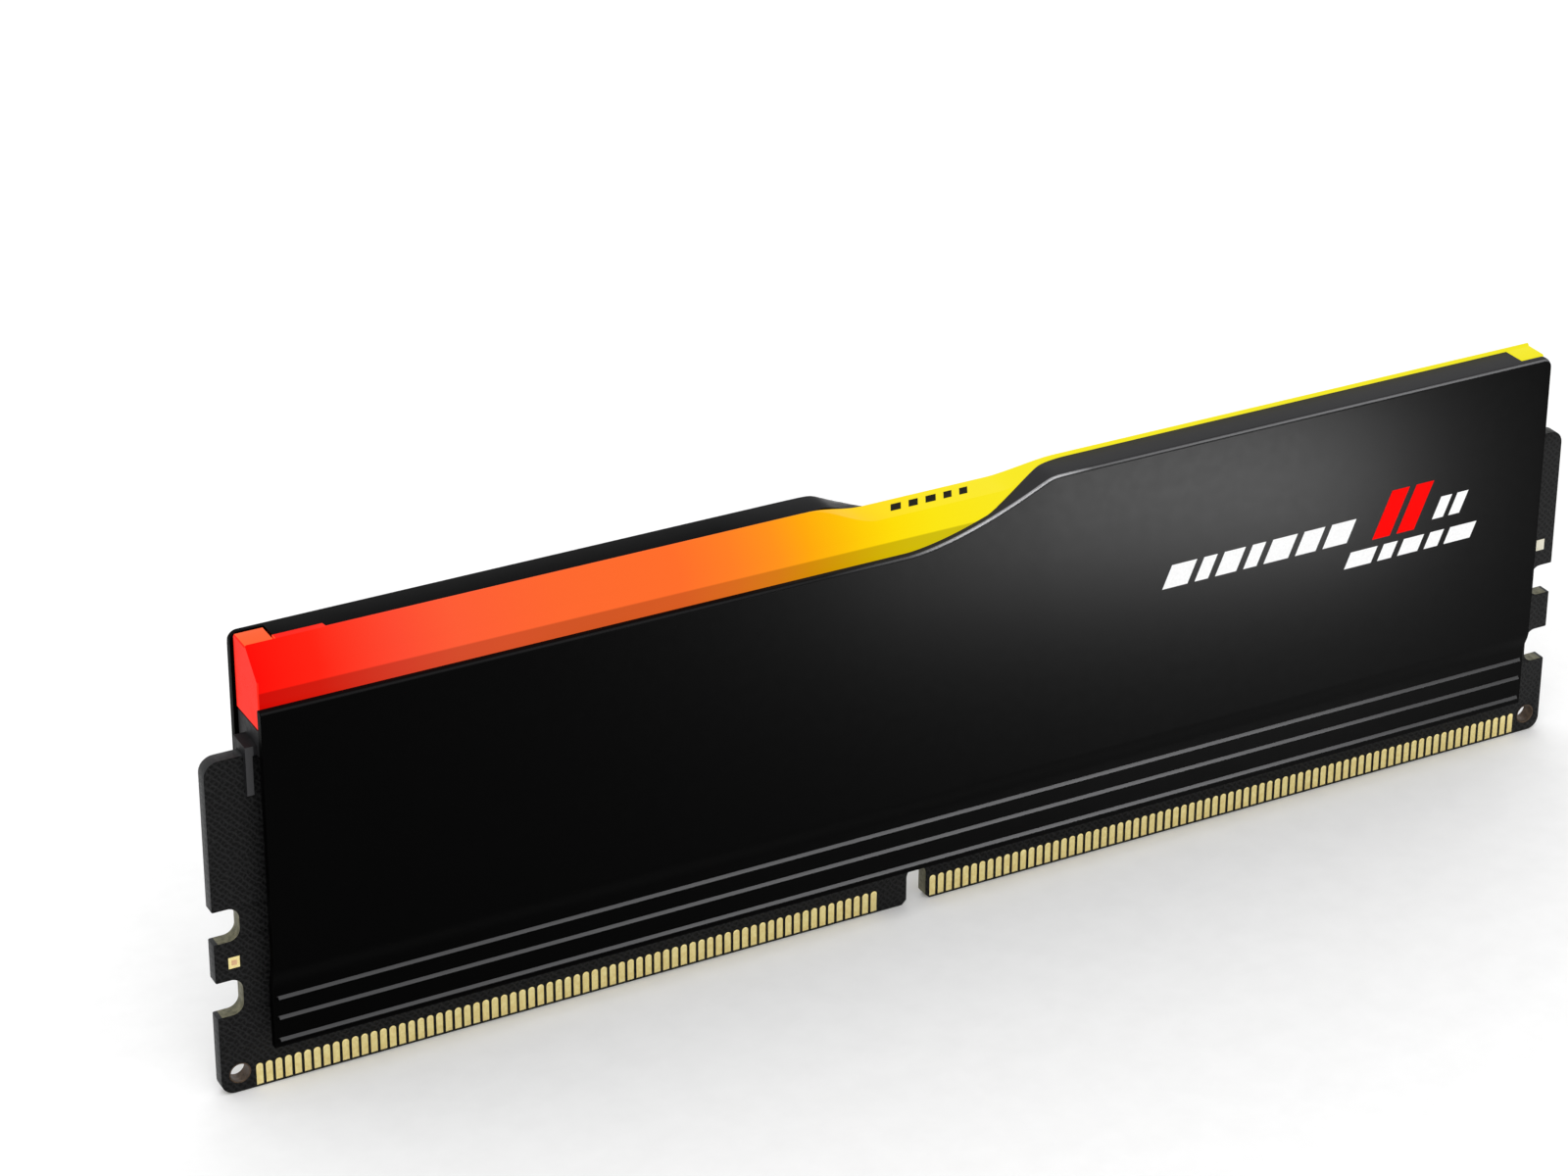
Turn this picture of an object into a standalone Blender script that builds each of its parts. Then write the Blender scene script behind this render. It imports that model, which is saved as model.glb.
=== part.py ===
"""A memory module with two folded metal heat spreaders and a light bar along its top edge.

Frame: X runs along the board, -Y is the side with the memory chips, +Z is up.
The origin is the middle of the board's bottom edge, half way through its thickness.
All lengths are metres.
"""
import math

import bmesh
import bpy

MM = 0.001

# Circuit board
BOARD_LENGTH = 133.35 * MM
BOARD_HEIGHT = 31.25 * MM
BOARD_THICKNESS = 1.27 * MM
BOARD_TOP_RADIUS = 1.3 * MM
BOARD_BOTTOM_RADIUS = 1.2 * MM
LATCH_NOTCH_DEPTH = 2.3 * MM
LATCH_NOTCHES = ((7.5 * MM, 10.8 * MM), (14.5 * MM, 17.5 * MM))
LATCH_NOTCH_RADIUS = 1.0 * MM
KEY_CENTRE = -1.25 * MM
KEY_WIDTH = 1.9 * MM
KEY_DEPTH = 3.6 * MM
KEY_MOUTH = 0.45 * MM
HOLE_RADIUS = 0.9 * MM
HOLE_INSET = 1.65 * MM
HOLE_HEIGHT = 1.8 * MM

# Gold contacts
CONTACT_PITCH = 0.85 * MM
CONTACT_WIDTH = 0.6 * MM
CONTACT_BOTTOM = 0.25 * MM
CONTACT_TOP = 2.2 * MM
CONTACT_THICKNESS = 0.05 * MM
CONTACT_TIE = 0.2 * MM
FIRST_CONTACT = -63.325 * MM
CONTACTS_BEFORE_KEY = 69
CONTACTS_AFTER_KEY = 75
KEY_GAP_PITCHES = 6

# Heat spreaders: one shape, used once on each side
SHELL_HALF_LENGTH = 62.6 * MM
FRONT_FACE = 3.3 * MM
REAR_FACE = 3.5 * MM
SHELL_SHEET = 0.7 * MM
SHELL_BEND_RADIUS = 0.35 * MM
SHELL_BOTTOM = 4.6 * MM
SHELL_LOW_TOP = 36.1 * MM
SHELL_HIGH_TOP = 40.45 * MM
SHELL_END_RADIUS = 0.8 * MM
SWEEP_START = -4.0 * MM
SWEEP_END = 10.0 * MM
SWEEP_POWER = 1.6
SWEEP_CROWN = 0.12 * MM
FOLD_EDGE = 0.25 * MM
FOLD_SHALLOW_EDGE = 0.75 * MM
FOLD_START = 0.0 * MM
FOLD_FULL = 13.0 * MM
FOLD_STEP = 55.5 * MM
FOLD_END = 59.7 * MM
FOLD_SHEET = 0.6 * MM
SKIRT_TOP = 12.4 * MM
SKIRT_STEP = 10.2 * MM
SKIRT_SET_BACK = 0.6 * MM
RIB_HEIGHTS = (9.3 * MM, 7.4 * MM, 5.3 * MM)
RIB_WIDTH = 0.45 * MM
RIB_PROUD = 0.28 * MM
RIB_END = 62.2 * MM

# Light bar and the holder under it
BAR_HALF_LENGTH = 62.4 * MM
BAR_SET_IN = 0.95 * MM
BAR_BOTTOM = 33.9 * MM
BAR_RIDGE = 40.65 * MM
BAR_RIDGE_HALF_WIDTH = 0.1 * MM
BAR_LIP = 0.02 * MM  # smallest step in the bar's profile, which keeps every edge apart
BAR_MIDDLE_TOP = 39.2 * MM
BAR_DIP_FLAT = 6.0 * MM
BAR_DIP_END = 12.0 * MM
BAR_BLOCK_START = 59.9 * MM
HOLDER_HALF_LENGTH = 62.3 * MM
HOLDER_TOP = 33.7 * MM
HOLDER_SHOULDER = 32.2 * MM
HOLDER_LEG = (62.7 * MM, 63.3 * MM)
HOLDER_LEG_BOTTOM = 27.8 * MM
HOLDER_LEG_FACE = 1.25 * MM
LIGHT_SLOT = (6.0 * MM, 1.3 * MM)

# Parts on the board
CHIP_SIZE = (10.0 * MM, 1.0 * MM, 11.0 * MM)
CHIP_HEIGHT = 16.4 * MM
CHIP_PLACES = tuple(side * place * MM for side in (-1, 1) for place in (52.5, 40.0, 27.5, 15.0))
LED_SIZE = (3.4 * MM, 0.9 * MM, 1.1 * MM)
LED_HEIGHT = 30.2 * MM
LED_PITCH = 12.0 * MM
LED_COUNT = 10
COIL_SIZE = (3.2 * MM, 1.1 * MM, 3.2 * MM)
PAD_HEIGHTS = (12.7 * MM, 22.2 * MM)
PAD_INNER = 9.8 * MM
PAD_OUTER = 58.0 * MM
POWER_PAD_HALF = 8.0 * MM
REAR_PAD_TOP = 29.0 * MM

GAP = 0.1 * MM
SOLDER_GAP = 0.04 * MM
BOARD_FACE = BOARD_THICKNESS / 2


def clear_scene():
    for thing in list(bpy.data.objects):
        bpy.data.objects.remove(thing, do_unlink=True)


def make_material(name, colour, roughness, metallic=0.0):
    material = bpy.data.materials.new(name)
    material.use_nodes = True
    shader = material.node_tree.nodes["Principled BSDF"]
    shader.inputs["Base Color"].default_value = (*colour, 1.0)
    shader.inputs["Roughness"].default_value = roughness
    shader.inputs["Metallic"].default_value = metallic
    material.diffuse_color = (*colour, 1.0)
    return material


def make_object(name, bm, material, smooth_angle=None):
    bmesh.ops.recalc_face_normals(bm, faces=bm.faces)
    mesh = bpy.data.meshes.new(name)
    bm.to_mesh(mesh)
    bm.free()
    thing = bpy.data.objects.new(name, mesh)
    bpy.context.scene.collection.objects.link(thing)
    thing.data.materials.append(material)
    if smooth_angle is not None:
        mesh.shade_smooth()
        mesh.set_sharp_from_angle(angle=smooth_angle)
    return thing


def add_bevel(thing, width, segments=2):
    bevel = thing.modifiers.new("edge", "BEVEL")
    bevel.width = width
    bevel.segments = segments
    bevel.limit_method = "ANGLE"
    bevel.angle_limit = math.radians(40)


def cut(thing, cutters):
    """Cut each cutter out of the thing; the cutters stay in the file as wire guides."""
    for cutter in cutters:
        cutter.hide_render = True
        cutter.display_type = "WIRE"
        boolean = thing.modifiers.new("cut", "BOOLEAN")
        boolean.operation = "DIFFERENCE"
        boolean.solver = "EXACT"
        boolean.object = cutter


def make_box(name, low, high, material, bevel=0.0):
    bm = bmesh.new()
    size = [top - bottom for bottom, top in zip(low, high)]
    bmesh.ops.create_cube(bm, size=1.0)
    for vert in bm.verts:
        for axis in range(3):
            vert.co[axis] *= size[axis]
    thing = make_object(name, bm, material)
    thing.location = [(bottom + top) / 2 for bottom, top in zip(low, high)]
    if bevel:
        add_bevel(thing, bevel, 1)
    return thing


def make_plate(name, outline, near, far, material):
    """Extrude an (x, z) outline from y = near to y = far."""
    bm = bmesh.new()
    face = bm.faces.new([bm.verts.new((x, near, z)) for x, z in outline])
    raised = bmesh.ops.extrude_face_region(bm, geom=[face])
    moved = [item for item in raised["geom"] if isinstance(item, bmesh.types.BMVert)]
    bmesh.ops.translate(bm, verts=moved, vec=(0, far - near, 0))
    return make_object(name, bm, material)


def make_loft(name, sections, material, smooth_angle=None):
    """Join closed rings of the same point count into one capped solid."""
    bm = bmesh.new()
    rings = [[bm.verts.new(point) for point in section] for section in sections]
    count = len(rings[0])
    for near, far in zip(rings, rings[1:]):
        for index in range(count):
            following = (index + 1) % count
            bm.faces.new((near[index], near[following], far[following], far[index]))
    bm.faces.new(rings[0])
    bm.faces.new(rings[-1])
    return make_object(name, bm, material, smooth_angle)


def make_cylinder(name, centre, radius, length, material, segments=20):
    """A cylinder along Y."""
    bm = bmesh.new()
    bmesh.ops.create_cone(bm, cap_ends=True, segments=segments, radius1=radius, radius2=radius,
                          depth=length)
    thing = make_object(name, bm, material)
    thing.location = centre
    thing.rotation_euler = (math.pi / 2, 0, 0)
    return thing


def turned_about_z(points):
    return [(-x, -y, z) for x, y, z in points]


def arc(centre, radius, start, end, steps):
    """Points on an arc, angles in degrees, both ends included."""
    points = []
    for step in range(steps + 1):
        angle = math.radians(start + (end - start) * step / steps)
        points.append((centre[0] + radius * math.cos(angle), centre[1] + radius * math.sin(angle)))
    return points


def rounded_minimum(first, second, softness):
    """The lower of two heights, with a rounded corner where they cross."""
    apart = first - second
    return (first + second - math.sqrt(apart * apart + 4 * softness * softness)) / 2


def smooth_step(value):
    value = min(max(value, 0.0), 1.0)
    return value * value * (3 - 2 * value)


# ---- circuit board ----

def right_edge_outline():
    """The board's right end from the bottom corner up to the top corner."""
    end = BOARD_LENGTH / 2
    inner = end - LATCH_NOTCH_DEPTH
    radius = LATCH_NOTCH_RADIUS
    points = arc((end - BOARD_BOTTOM_RADIUS, BOARD_BOTTOM_RADIUS), BOARD_BOTTOM_RADIUS, -90, 0, 4)
    for low, high in LATCH_NOTCHES:
        points.append((end, low))
        points += arc((inner + radius, low + radius), radius, -90, -180, 3)
        points += arc((inner + radius, high - radius), radius, 180, 90, 3)
        points.append((end, high))
    points += arc((end - BOARD_TOP_RADIUS, BOARD_HEIGHT - BOARD_TOP_RADIUS), BOARD_TOP_RADIUS, 0, 90, 4)
    return points


def key_outline():
    """The key notch from its left mouth corner round its top to its right mouth corner."""
    left = KEY_CENTRE - KEY_WIDTH / 2
    right = KEY_CENTRE + KEY_WIDTH / 2
    radius = KEY_WIDTH / 2
    crown = arc((KEY_CENTRE, KEY_DEPTH - radius), radius, 180, 0, 8)
    mouth_left = [(left - KEY_MOUTH, 0.0), (left, KEY_MOUTH)]
    mouth_right = [(right, KEY_MOUTH), (right + KEY_MOUTH, 0.0)]
    return mouth_left + crown + mouth_right


def make_board(materials):
    right = right_edge_outline()
    left = [(-x, z) for x, z in reversed(right)]
    outline = right + left + key_outline()
    board = make_plate("circuit_board", outline, -BOARD_FACE, BOARD_FACE, materials["solder_mask"])
    holes = []
    for side in (-1, 1):
        centre = (side * (BOARD_LENGTH / 2 - HOLE_INSET), 0, HOLE_HEIGHT)
        holes.append(make_cylinder("hole_guide", centre, HOLE_RADIUS, 4 * BOARD_THICKNESS,
                                   materials["solder_mask"]))
    cut(board, holes)


def make_contact_row(name, first, count, side, material):
    """One row of fingers, joined along the bottom by the thin plating tie."""
    half = CONTACT_WIDTH / 2
    start = first - half
    end = first + (count - 1) * CONTACT_PITCH + half
    tie = CONTACT_BOTTOM + CONTACT_TIE
    outline = [(start, CONTACT_BOTTOM), (end, CONTACT_BOTTOM)]
    for index in reversed(range(count)):
        centre = first + index * CONTACT_PITCH
        outline.append((centre + half, tie if index < count - 1 else CONTACT_TOP))
        if index < count - 1:
            outline.append((centre + half, CONTACT_TOP))
        outline.append((centre - half, CONTACT_TOP))
        if index > 0:
            outline.append((centre - half, tie))
    near = side * (BOARD_FACE + SOLDER_GAP)
    make_plate(name, outline, near, near + side * CONTACT_THICKNESS, material)


def make_contacts(materials):
    after_key = FIRST_CONTACT + (CONTACTS_BEFORE_KEY + KEY_GAP_PITCHES) * CONTACT_PITCH
    for face, side in (("front", -1), ("rear", 1)):
        make_contact_row(f"contacts_{face}_left", FIRST_CONTACT, CONTACTS_BEFORE_KEY, side,
                         materials["gold"])
        make_contact_row(f"contacts_{face}_right", after_key, CONTACTS_AFTER_KEY, side,
                         materials["gold"])


# ---- parts on the board ----

def make_front_part(name, centre_x, centre_z, size, material, bevel=0.0):
    """A part that stands on the board's front face."""
    width, depth, height = size
    near = -(BOARD_FACE + SOLDER_GAP)
    low = (centre_x - width / 2, near - depth, centre_z - height / 2)
    high = (centre_x + width / 2, near, centre_z + height / 2)
    return make_box(name, low, high, material, bevel)


def make_board_parts(materials):
    for number, place in enumerate(sorted(CHIP_PLACES), 1):
        make_front_part(f"memory_chip_{number}", place, CHIP_HEIGHT, CHIP_SIZE, materials["chip"],
                        0.12 * MM)
    make_front_part("power_chip", 0.0, 19.5 * MM, (5.0 * MM, 0.8 * MM, 5.0 * MM), materials["chip"],
                    0.1 * MM)
    make_front_part("hub_chip", -6.8 * MM, 9.5 * MM, (3.0 * MM, 0.6 * MM, 2.0 * MM), materials["chip"])
    make_front_part("light_driver_chip", 0.0, 26.8 * MM, (4.0 * MM, 0.8 * MM, 4.0 * MM),
                    materials["chip"], 0.1 * MM)
    for number, place in enumerate((-6.2, 0.0, 6.2), 1):
        make_front_part(f"power_coil_{number}", place * MM, 13.2 * MM, COIL_SIZE, materials["ferrite"],
                        0.15 * MM)
    for number, place in enumerate((-7.0, -4.6, 4.6, 7.0), 1):
        make_front_part(f"bulk_capacitor_{number}", place * MM, 19.5 * MM,
                        (1.25 * MM, 0.9 * MM, 2.0 * MM), materials["ceramic"], 0.08 * MM)
    for number, place in enumerate(led_places(), 1):
        make_front_part(f"led_{number}", place, LED_HEIGHT, LED_SIZE, materials["led"])


def led_places():
    first = -(LED_COUNT - 1) / 2 * LED_PITCH
    return [first + number * LED_PITCH for number in range(LED_COUNT)]


def make_pads(materials):
    """Soft pads that fill the room between the parts and the spreaders."""
    front = -(FRONT_FACE - SHELL_SHEET) + GAP
    rear = REAR_FACE - SHELL_SHEET - GAP
    chip_face = -(BOARD_FACE + SOLDER_GAP + CHIP_SIZE[1])
    coil_face = -(BOARD_FACE + SOLDER_GAP + COIL_SIZE[1])
    low, high = PAD_HEIGHTS
    for name, side in (("left", -1), ("right", 1)):
        near, far = sorted((side * PAD_INNER, side * PAD_OUTER))
        make_box(f"thermal_pad_front_{name}", (near, front, low), (far, chip_face - GAP, high),
                 materials["pad"])
    make_box("thermal_pad_power", (-POWER_PAD_HALF, front, low),
             (POWER_PAD_HALF, coil_face - GAP, high), materials["pad"])
    make_box("thermal_pad_rear", (-PAD_OUTER, BOARD_FACE + GAP, low), (PAD_OUTER, rear, REAR_PAD_TOP),
             materials["pad"])


# ---- heat spreaders ----

def shell_top(x):
    """Height of the spreader's top edge, measured along the spreader that is high at +X."""
    share = max((x - SWEEP_START) / (SWEEP_END - SWEEP_START), 0.0)
    climb = SHELL_LOW_TOP + (SHELL_HIGH_TOP - SHELL_LOW_TOP) * share ** SWEEP_POWER
    height = rounded_minimum(climb, SHELL_HIGH_TOP, SWEEP_CROWN)
    past = x - (SHELL_HALF_LENGTH - SHELL_END_RADIUS)
    if past > 0:
        height -= SHELL_END_RADIUS - math.sqrt(max(SHELL_END_RADIUS ** 2 - past ** 2, 0.0))
    return height


def fold_edge(x, face):
    """Distance from the board's mid-plane to the inner edge of the top fold."""
    plain = face - SHELL_SHEET - 0.02 * MM
    if x >= FOLD_END:
        return plain
    inner = FOLD_SHALLOW_EDGE if x > FOLD_STEP else FOLD_EDGE
    reach = (face - inner) * smooth_step((x - FOLD_START) / (FOLD_FULL - FOLD_START))
    return min(plain, face - reach)


def shell_section(x, face):
    """Closed profile of the spreader at x, as (x, y, z) points; face is its outer distance in Y."""
    skirt = face - SKIRT_SET_BACK
    top = shell_top(x)
    radius = SHELL_BEND_RADIUS
    proud = RIB_PROUD if abs(x) < RIB_END else 0.02 * MM
    edge = fold_edge(x, face)
    outer = [(edge, top)]
    outer += [(out, up) for out, up in arc((face - radius, top - radius), radius, 90, 0, 3)]
    outer += [(face, SKIRT_TOP), (face - 0.15 * MM, SKIRT_TOP - 0.9 * MM), (skirt, SKIRT_STEP)]
    for height in RIB_HEIGHTS:
        outer += [(skirt, height + RIB_WIDTH * 0.6), (skirt + proud, height + RIB_WIDTH * 0.35),
                  (skirt + proud, height - RIB_WIDTH * 0.35), (skirt, height - RIB_WIDTH * 0.6)]
    outer.append((skirt, SHELL_BOTTOM))
    inner = [(skirt - SHELL_SHEET, SHELL_BOTTOM), (skirt - SHELL_SHEET, SKIRT_STEP + 0.2 * MM),
             (face - SHELL_SHEET, SKIRT_TOP + 0.3 * MM), (face - SHELL_SHEET, top - FOLD_SHEET - 0.05 * MM),
             (edge, top - FOLD_SHEET)]
    return [(x, -out, up) for out, up in outer + inner]


def shell_stations():
    """Places along X where the spreader's profile changes."""
    edge = 0.08 * MM
    stations = [-SHELL_HALF_LENGTH, -RIB_END - edge, -RIB_END + edge, SWEEP_START]
    stations += [place * MM for place in range(-1, 16)]
    stations += [FOLD_STEP - edge, FOLD_STEP + edge, FOLD_END - edge, FOLD_END]
    stations += [SHELL_HALF_LENGTH - SHELL_END_RADIUS, RIB_END - edge, RIB_END + edge, SHELL_HALF_LENGTH]
    return stations


def make_spreaders(materials):
    angle = math.radians(30)
    front = [shell_section(x, FRONT_FACE) for x in shell_stations()]
    rear = [turned_about_z(shell_section(x, REAR_FACE)) for x in shell_stations()]
    make_loft("heat_spreader_front", front, materials["anodised"], angle)
    make_loft("heat_spreader_rear", rear, materials["anodised"], angle)


# ---- light bar ----

def bar_top(x):
    """Height of the bar's ridge: level, with a dip in the middle."""
    share = smooth_step((abs(x) - BAR_DIP_FLAT) / (BAR_DIP_END - BAR_DIP_FLAT))
    return BAR_MIDDLE_TOP + (BAR_RIDGE - BAR_MIDDLE_TOP) * share


def under_fold(x):
    """Highest the bar may be under the fold of the spreader that is high at +X."""
    return shell_top(x) - FOLD_SHEET - 2.5 * GAP


def half_bar(x, face):
    """Front half of the bar's profile at x: bottom corner, front edge, then up to the crest."""
    out = face - BAR_SET_IN
    top = bar_top(x)
    crest = BAR_RIDGE_HALF_WIDTH + (BAR_RIDGE - top)
    if x >= BAR_BLOCK_START:
        run = (out - crest) / 3
        return [(out, BAR_BOTTOM)] + [(out - step * run, SHELL_HIGH_TOP) for step in range(4)]
    edge = min(fold_edge(min(x, FOLD_END - GAP), face) - GAP, out - 2 * BAR_LIP)
    slope = BAR_RIDGE + BAR_RIDGE_HALF_WIDTH - edge
    low = min(under_fold(x), slope - BAR_LIP) if edge < out - 2 * BAR_LIP else slope - BAR_LIP
    step = min(max(slope, low + BAR_LIP), top)
    crest = edge - BAR_LIP if x > FOLD_STEP else min(crest, edge - BAR_LIP)
    return [(out, BAR_BOTTOM), (out, low), (edge + BAR_LIP, low), (edge, step), (crest, top)]


def bar_section(x):
    """Closed profile of the bar at x, from its front bottom corner over the top to the back."""
    front = [(x, -out, up) for out, up in half_bar(x, FRONT_FACE)]
    back = [(x, out, up) for out, up in half_bar(-x, REAR_FACE)]
    return front + back[::-1]


def make_bar(materials):
    middle = [place * 0.5 * MM for place in range(-28, 29)]
    edge = 0.05 * MM
    ends = [FOLD_STEP - edge, FOLD_STEP + edge, BAR_BLOCK_START - edge, BAR_BLOCK_START, BAR_HALF_LENGTH]
    stations = [-x for x in reversed(ends)] + middle + ends
    make_loft("light_bar", [bar_section(x) for x in stations], materials["diffuser"], math.radians(25))


def make_holder(materials):
    """The strip between board and bar: a slot above every lamp and a thin leg at each end."""
    bottom = BOARD_HEIGHT + GAP
    leg_inner, leg_outer = HOLDER_LEG
    right = [(leg_inner, bottom), (leg_inner, HOLDER_LEG_BOTTOM), (leg_outer, HOLDER_LEG_BOTTOM),
             (leg_outer, HOLDER_SHOULDER), (HOLDER_HALF_LENGTH, HOLDER_SHOULDER),
             (HOLDER_HALF_LENGTH, HOLDER_TOP)]
    outline = right + [(-x, z) for x, z in reversed(right)]
    near = -(FRONT_FACE - BAR_SET_IN)
    far = REAR_FACE - BAR_SET_IN
    holder = make_plate("light_bar_holder", outline, near, far, materials["black_plastic"])
    length, width = LIGHT_SLOT
    lamp_y = -(BOARD_FACE + SOLDER_GAP + LED_SIZE[1] / 2)
    cutters = []
    for place in led_places():
        low = (place - length / 2, lamp_y - width / 2, bottom - 1 * MM)
        high = (place + length / 2, lamp_y + width / 2, HOLDER_TOP + 1 * MM)
        cutters.append(make_box("slot_guide", low, high, materials["black_plastic"]))
    board_room = BOARD_FACE + GAP
    cutters.append(make_box("board_guide", (-70 * MM, -board_room, 20 * MM), (70 * MM, board_room, bottom),
                            materials["black_plastic"]))
    for side in (-1, 1):
        start, end = sorted((side * HOLDER_HALF_LENGTH, side * 70 * MM))
        for front, back in ((-5 * MM, -HOLDER_LEG_FACE), (HOLDER_LEG_FACE, 5 * MM)):
            cutters.append(make_box("leg_guide", (start, front, 20 * MM), (end, back, 40 * MM),
                                    materials["black_plastic"]))
    cut(holder, cutters)


def make_label(materials):
    near = REAR_FACE + SOLDER_GAP
    make_box("rear_label", (-24 * MM, near, 15 * MM), (24 * MM, near + 0.1 * MM, 31 * MM),
             materials["label"])


def main():
    clear_scene()
    materials = {
        "solder_mask": make_material("solder_mask", (0.012, 0.012, 0.013), 0.45),
        "gold": make_material("gold", (0.83, 0.62, 0.25), 0.28, 1.0),
        "chip": make_material("chip", (0.02, 0.02, 0.022), 0.5),
        "ferrite": make_material("ferrite", (0.05, 0.05, 0.055), 0.6),
        "ceramic": make_material("ceramic", (0.32, 0.24, 0.17), 0.4),
        "led": make_material("led", (0.9, 0.88, 0.7), 0.35),
        "pad": make_material("pad", (0.42, 0.46, 0.5), 0.8),
        "anodised": make_material("anodised", (0.018, 0.018, 0.019), 0.38, 0.6),
        "diffuser": make_material("diffuser", (0.95, 0.35, 0.08), 0.4),
        "black_plastic": make_material("black_plastic", (0.015, 0.015, 0.015), 0.55),
        "label": make_material("label", (0.8, 0.8, 0.78), 0.5),
    }
    make_board(materials)
    make_contacts(materials)
    make_board_parts(materials)
    make_pads(materials)
    make_spreaders(materials)
    make_bar(materials)
    make_holder(materials)
    make_label(materials)


main()
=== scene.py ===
import math

import bmesh
import bpy
from mathutils import Matrix, Vector


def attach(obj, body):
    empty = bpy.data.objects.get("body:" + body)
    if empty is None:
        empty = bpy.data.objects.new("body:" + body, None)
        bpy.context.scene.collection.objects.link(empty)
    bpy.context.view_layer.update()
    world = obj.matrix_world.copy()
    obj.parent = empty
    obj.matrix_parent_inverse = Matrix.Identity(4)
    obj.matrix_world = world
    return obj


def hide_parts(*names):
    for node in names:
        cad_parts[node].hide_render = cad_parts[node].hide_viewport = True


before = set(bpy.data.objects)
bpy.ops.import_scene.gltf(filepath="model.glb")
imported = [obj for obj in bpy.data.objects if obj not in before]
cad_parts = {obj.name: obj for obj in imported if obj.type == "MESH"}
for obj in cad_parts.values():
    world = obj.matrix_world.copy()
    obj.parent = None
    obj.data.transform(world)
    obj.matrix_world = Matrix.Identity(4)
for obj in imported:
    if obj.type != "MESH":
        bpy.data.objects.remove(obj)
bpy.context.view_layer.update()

mm = 0.001
scene = bpy.context.scene
print("frame loaded:", len(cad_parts), "nodes")


# ways of making a mesh, lengths in millimetres until the mesh is written

def finishPiece(name, bm, finish, replaced=(), smooth=32):
    bmesh.ops.recalc_face_normals(bm, faces=bm.faces)
    bmesh.ops.scale(bm, vec=(mm, mm, mm), verts=bm.verts)
    mesh = bpy.data.meshes.new(name)
    bm.to_mesh(mesh)
    bm.free()
    piece = bpy.data.objects.new(name, mesh)
    scene.collection.objects.link(piece)
    mesh.materials.append(finish)
    mesh.shade_smooth()
    mesh.set_sharp_from_angle(angle=math.radians(smooth))
    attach(piece, "root")
    if replaced:
        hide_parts(*replaced)
    return piece


def addLoft(bm, rings):  # closed rings of one point count, capped at both ends
    rows = [[bm.verts.new(point) for point in ring] for ring in rings]
    count = len(rows[0])
    for near, far in zip(rows, rows[1:]):
        for i in range(count):
            j = (i + 1) % count
            bm.faces.new((near[i], near[j], far[j], far[i]))
    bm.faces.new(rows[0])
    bm.faces.new(rows[-1])


def addPlate(bm, outline, low, high, rim=0.0, side=-1):  # (x, z) outline, out from the board by low to high
    base = [(x, side * low, z) for x, z in outline]
    shoulder = [(x, side * (high - rim * 0.6), z) for x, z in outline]
    rings = [base, shoulder]
    if rim:
        middle = Vector((sum(x for x, z in outline), sum(z for x, z in outline))) / len(outline)
        crown = []
        count = len(outline)
        for i in range(count):
            before, here, after = (Vector(outline[k % count]) for k in (i - 1, i, i + 1))
            inward = (here - before).normalized().orthogonal() + (after - here).normalized().orthogonal()
            inward.normalize()
            if inward.dot(middle - here) < 0:
                inward.negate()
            spot = here + inward * rim
            crown.append((spot.x, side * high, spot.y))
        rings.append(crown)
    addLoft(bm, rings)


def arcPoints(centre, radius, start, end, steps):
    spread = [math.radians(start + (end - start) * i / steps) for i in range(steps + 1)]
    return [(centre[0] + radius * math.cos(a), centre[1] + radius * math.sin(a)) for a in spread]


def slantedBar(left, low, width, height, lean):  # leans to the right as it rises
    shift = lean * height
    return [(left, low), (left + width, low), (left + width + shift, low + height),
            (left + shift, low + height)]


def softStep(value):
    value = min(max(value, 0.0), 1.0)
    return value * value * (3 - 2 * value)


# ways of making a finish

def linear(red, green, blue):  # 0 to 255 tones as light values
    tones = [tone / 255 for tone in (red, green, blue)]
    return [t / 12.92 if t <= 0.04045 else ((t + 0.055) / 1.055) ** 2.4 for t in tones] + [1.0]


def startFinish(name, colour, roughness, metallic=0.0, specular=0.5):
    finish = bpy.data.materials.new(name)
    finish.use_nodes = True
    shader = finish.node_tree.nodes["Principled BSDF"]
    shader.inputs["Base Color"].default_value = (*colour, 1.0)
    shader.inputs["Roughness"].default_value = roughness
    shader.inputs["Metallic"].default_value = metallic
    shader.inputs["Specular IOR Level"].default_value = specular
    return finish, shader


def addNode(finish, kind, wires=None, **settings):  # wires: input name or number to a socket or a value
    node = finish.node_tree.nodes.new("ShaderNode" + kind)
    for key, value in settings.items():
        setattr(node, key, value)
    for key, source in (wires or {}).items():
        if isinstance(source, bpy.types.NodeSocket):
            finish.node_tree.links.new(source, node.inputs[key])
        else:
            node.inputs[key].default_value = source
    return node


def wire(finish, source, target):
    finish.node_tree.links.new(source, target)


def placeOn(finish):  # the row frame's own coordinates
    return addNode(finish, "TexCoord").outputs["Object"]


def noiseOn(finish, scale, detail=2.0, roughness=0.5):
    return addNode(finish, "TexNoise", {"Vector": placeOn(finish), "Scale": scale, "Detail": detail,
                                        "Roughness": roughness}).outputs["Fac"]


def calculate(finish, operation, first, second=0.0):
    return addNode(finish, "Math", {0: first, 1: second}, operation=operation).outputs[0]


def spread(finish, value, low, high, start=0.3, end=0.7):  # maps start..end to low..high
    return addNode(finish, "MapRange", {"Value": value, "From Min": start, "From Max": end,
                                        "To Min": low, "To Max": high}).outputs["Result"]


def blendColours(finish, amount, first, second):
    mix = addNode(finish, "Mix", {0: amount, 6: first, 7: second}, data_type="RGBA")
    return mix.outputs[2]


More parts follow.
